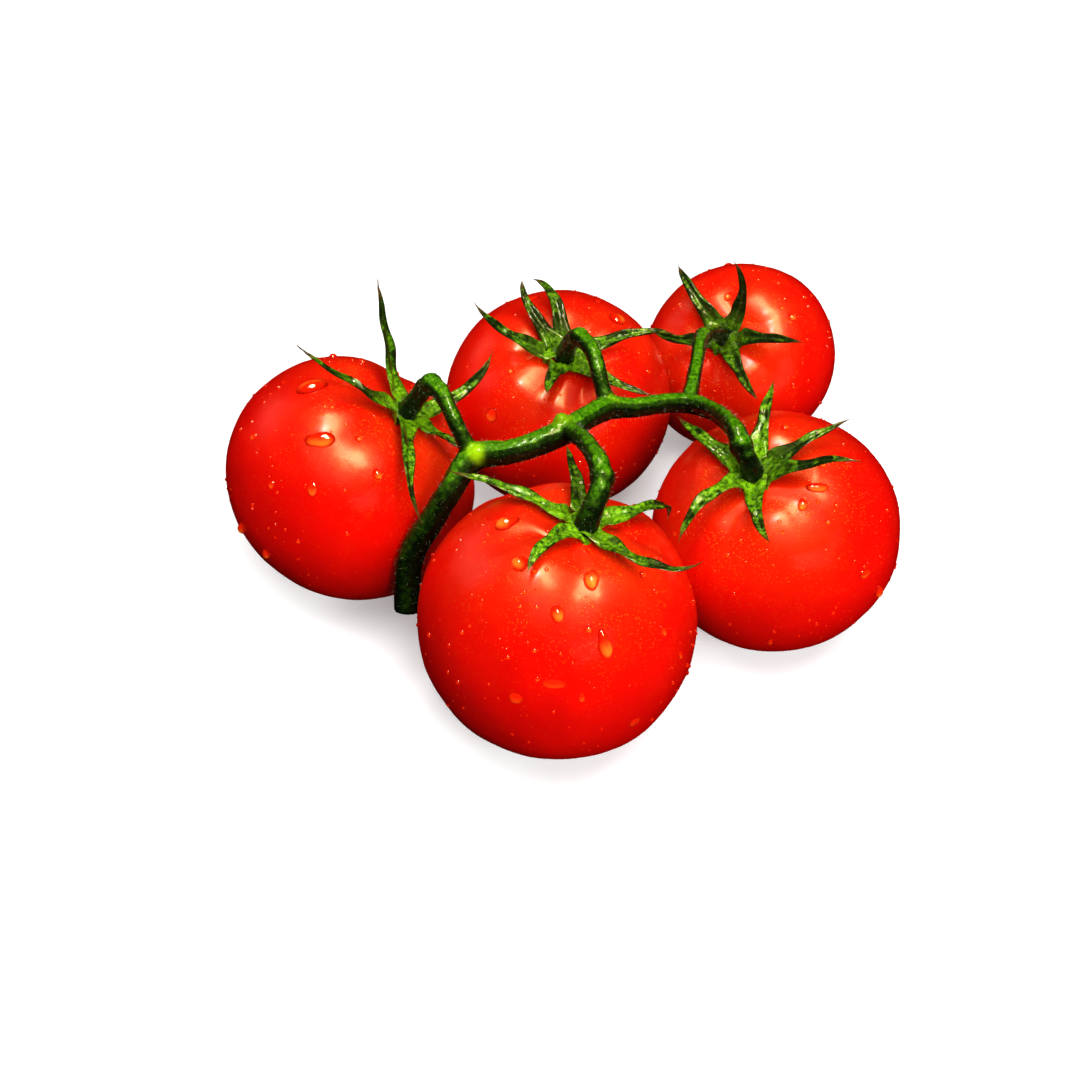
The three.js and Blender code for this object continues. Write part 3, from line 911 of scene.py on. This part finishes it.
# Drops that stand on leaves: the leaf, how far along it, then width, length and height in millimetres.
LEAF_DROPS = [
    ("sepal_1b", 0.5, 2.9, 4.6, 1.3),
    ("sepal_2a", 0.5, 2.1, 4.8, 1.1),
    ("sepal_2a", 0.3, 1.1, 1.1, 0.6),
    ("sepal_2c", 0.3, 1.4, 1.6, 0.8),
    ("sepal_5b", 0.5, 1.5, 2.4, 0.8),
    ("sepal_5e", 0.55, 1.5, 2.6, 0.9),
    ("sepal_3d", 0.5, 1.2, 1.6, 0.8),
    ("sepal_3a", 0.6, 1.1, 1.4, 0.7),
]


class Water:
    """A piece made of many drops."""

    def __init__(self, rng):
        self.rng = rng
        self.points, self.faces, self.glow, self.rim_shade = [], [], [], []

    def add(self, place, normal, sizes, way=DOWN, rings=DROP_RINGS, sides=DROP_SIDES, lit=None):
        """A drop of that width, length and height in millimetres; its painted glow goes by its height or by
        lit.
        """
        if lit is None:
            lit = min(DROP_LIT, sizes[2])
        sizes = [size * MM for size in sizes]
        points, faces, glow, rim_shade = drop_shape(place, normal, way, *sizes, self.rng, rings, sides, lit)
        base = len(self.points)
        self.points += points
        self.glow += glow
        self.rim_shade += rim_shade
        self.faces += [tuple(i + base for i in face) for face in faces]

    def piece(self, name, material):
        piece = add_piece(name, self.points, self.faces, material)
        set_attribute(piece, "glow", self.glow)
        set_attribute(piece, "rim_shade", self.rim_shade)
        piece.visible_shadow = False
        return piece


def add_drops(number, skin, rng):
    tree = BVHTree.FromObject(skin, bpy.context.evaluated_depsgraph_get())
    centre = middle_of(f"fruit_{number}")
    water = Water(rng)
    for azimuth, elevation, *sizes in DROPS[number]:
        place, normal = on_skin(tree, centre, azimuth, elevation)
        water.add(place, normal, sizes)
    smallest, wider = SPECK_WIDTH
    for _ in range(SPECKS):
        azimuth = rng.uniform(0, 360)
        elevation = math.degrees(math.asin(rng.uniform(-0.3, 1)))
        width = smallest + wider * rng.random() ** 5
        lit = rng.uniform(*SPECK_LIT)
        place, normal = on_skin(tree, centre, azimuth, elevation)
        sizes = width, width, SPECK_HEIGHT * width
        water.add(place, normal, sizes, rings=SPECK_RINGS, sides=SPECK_SIDES, lit=lit)
    return water.piece(f"drops_{number}", FRUIT_WATER)


def add_leaf_drops(leaves, rng):
    water = Water(rng)
    for node, along, *sizes in LEAF_DROPS:
        piece, middle, above = leaves[node]
        tree = BVHTree.FromObject(piece, bpy.context.evaluated_depsgraph_get())
        k = round(along * (len(middle) - 1))
        up = Vector(above[k])
        place, normal, _, _ = tree.ray_cast(Vector(middle[k]) + up * LEAF_RAY_LENGTH, -up)
        if place:
            water.add(place, normal, sizes, way=Vector(middle[k] - middle[k - 8]))
    return water.piece("leaf_drops", LEAF_WATER)


# ---- Studio --------------------------------------------------------------------------------------------
def add_floor():
    bm = bmesh.new()
    bmesh.ops.create_grid(bm, x_segments=8, y_segments=8, size=FLOOR_HALF)
    mesh = bpy.data.meshes.new("floor")
    bm.to_mesh(mesh)
    bm.free()
    mesh.materials.append(make_floor_surface())
    floor = bpy.data.objects.new("floor", mesh)
    floor.location.z = -FLOOR_GAP
    bpy.context.scene.collection.objects.link(floor)
    floor.visible_glossy = False
    floor.visible_diffuse = False


def add_softbox(name, place, width, depth, power, lights, colour):
    light = bpy.data.lights.new(name, "AREA")
    light.shape = "RECTANGLE"
    light.size = width
    light.size_y = depth
    light.energy = power
    light.color = colour
    lamp = bpy.data.objects.new(name, light)
    lamp.location = place
    lamp.rotation_euler = (Vector(LAMP_AIM) - Vector(place)).to_track_quat("-Z", "Y").to_euler()
    lamp.visible_glossy = lights == "gloss"
    lamp.visible_diffuse = lights == "colour"
    bpy.context.scene.collection.objects.link(lamp)


def add_studio():
    add_floor()
    for softbox in SOFTBOXES:
        add_softbox(*softbox)
    world = bpy.data.worlds.new("studio")
    world.use_nodes = True
    background = world.node_tree.nodes["Background"]
    background.inputs["Color"].default_value = (1, 1, 1, 1)
    background.inputs["Strength"].default_value = SKY
    world.cycles_visibility.glossy = False
    bpy.context.scene.world = world
    bpy.context.scene.view_settings.view_transform = "Standard"


def add_camera():
    camera = bpy.data.cameras.new("camera")
    camera.sensor_width = 36
    camera.lens = CAMERA_LENS
    camera.shift_y = CAMERA_SHIFT
    camera.clip_start = 0.01
    holder = bpy.data.objects.new("camera", camera)
    holder.location = CAMERA_PLACE
    holder.rotation_euler = Euler((math.pi / 2 - CAMERA_DOWN, 0, 0))
    bpy.context.scene.collection.objects.link(holder)
    bpy.context.scene.camera = holder


# ---- The truss -----------------------------------------------------------------------------------------
add_camera()
add_studio()
rng = random.Random(SEED)
for number in range(1, 6):
    skin = add_fruit(number, rng)
    add_drops(number, skin, rng)
stem = add_stem()
leaves = {node: add_sepal(node, rng) for node in NODES if node.startswith("sepal_")}
add_leaf_drops(leaves, rng)
add_hairs("stem_hairs", scatter(stem, STEM_HAIRS, rng), rng)
leaf_roots = [root for leaf, _, _ in leaves.values() for root in scatter(leaf, LEAF_HAIRS, rng)]
add_hairs("leaf_hairs", leaf_roots, rng)
